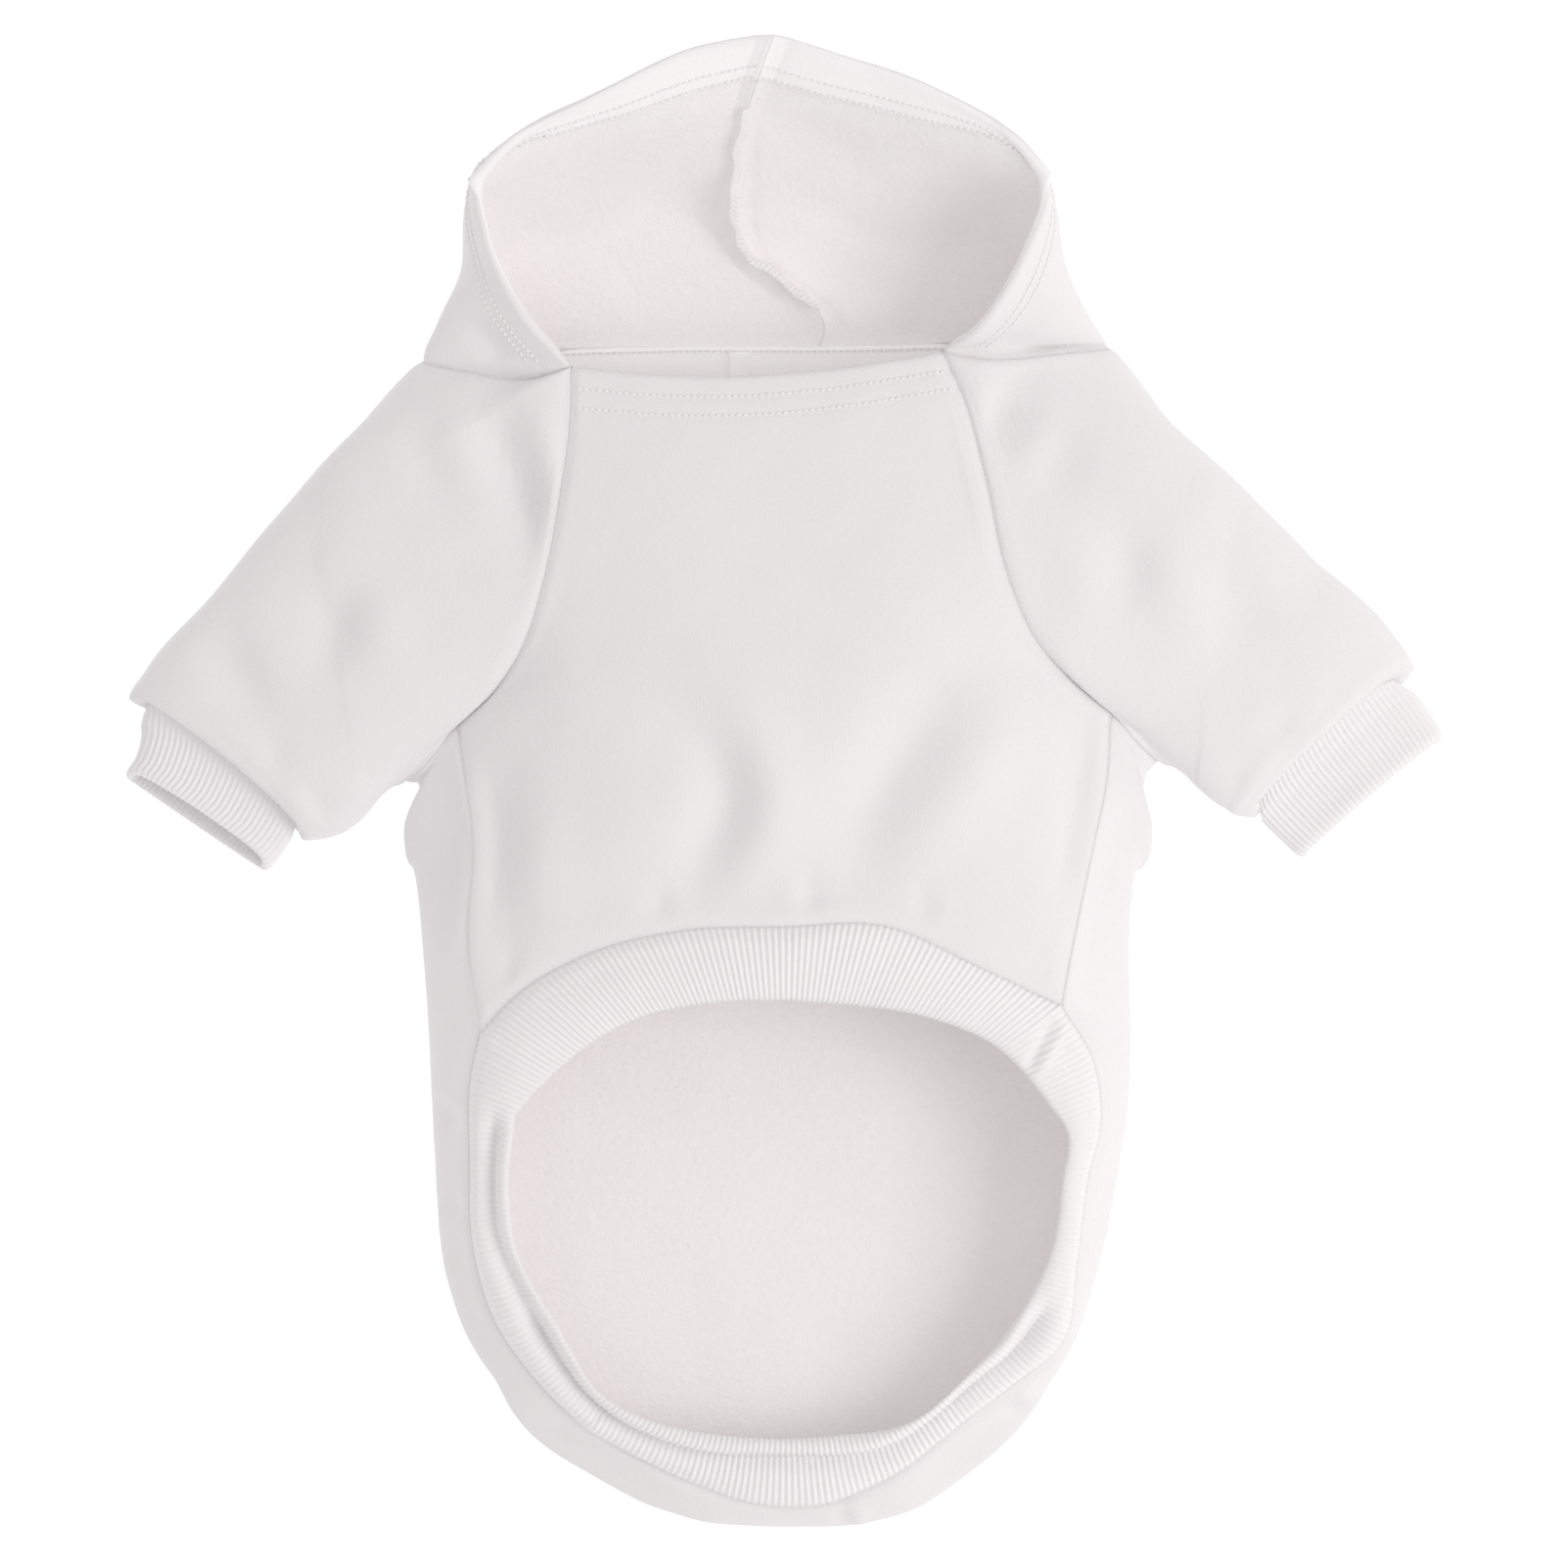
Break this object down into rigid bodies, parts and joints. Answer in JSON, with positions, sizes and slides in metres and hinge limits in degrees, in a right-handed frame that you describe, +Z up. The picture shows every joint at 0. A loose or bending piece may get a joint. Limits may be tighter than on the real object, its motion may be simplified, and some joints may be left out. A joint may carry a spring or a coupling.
{
  "type": "dog hoodie",
  "caption": "Fleece dog hoodie lying on its back, belly side up, with an open hood, raglan sleeves with rib cuffs and a rib band round the hem opening",
  "frame": {"origin": "middle of the base of the bounding box, on the surface that the hoodie lies on", "axes": "+X across the hoodie towards the right of the picture, +Y towards the hood, +Z up from the surface, towards the belly side"},
  "size_m": [0.4158, 0.4673, 0.0622],
  "materials": {
    "white_fleece": "brushed fleece knit",
    "white_rib": "fine rib knit"
  },
  "bodies": {
    "root": {"belly_panel": "white_fleece", "back_panel": "white_fleece", "sleeve_left": "white_fleece", "sleeve_right": "white_fleece", "cuff_left": "white_rib", "cuff_right": "white_rib", "hem_band": "white_rib", "hood_left": "white_fleece", "hood_right": "white_fleece", "hood_seam": "white_fleece", "neck_seam": "white_fleece", "neck_tab": "white_fleece"}
  },
  "joints": []
}
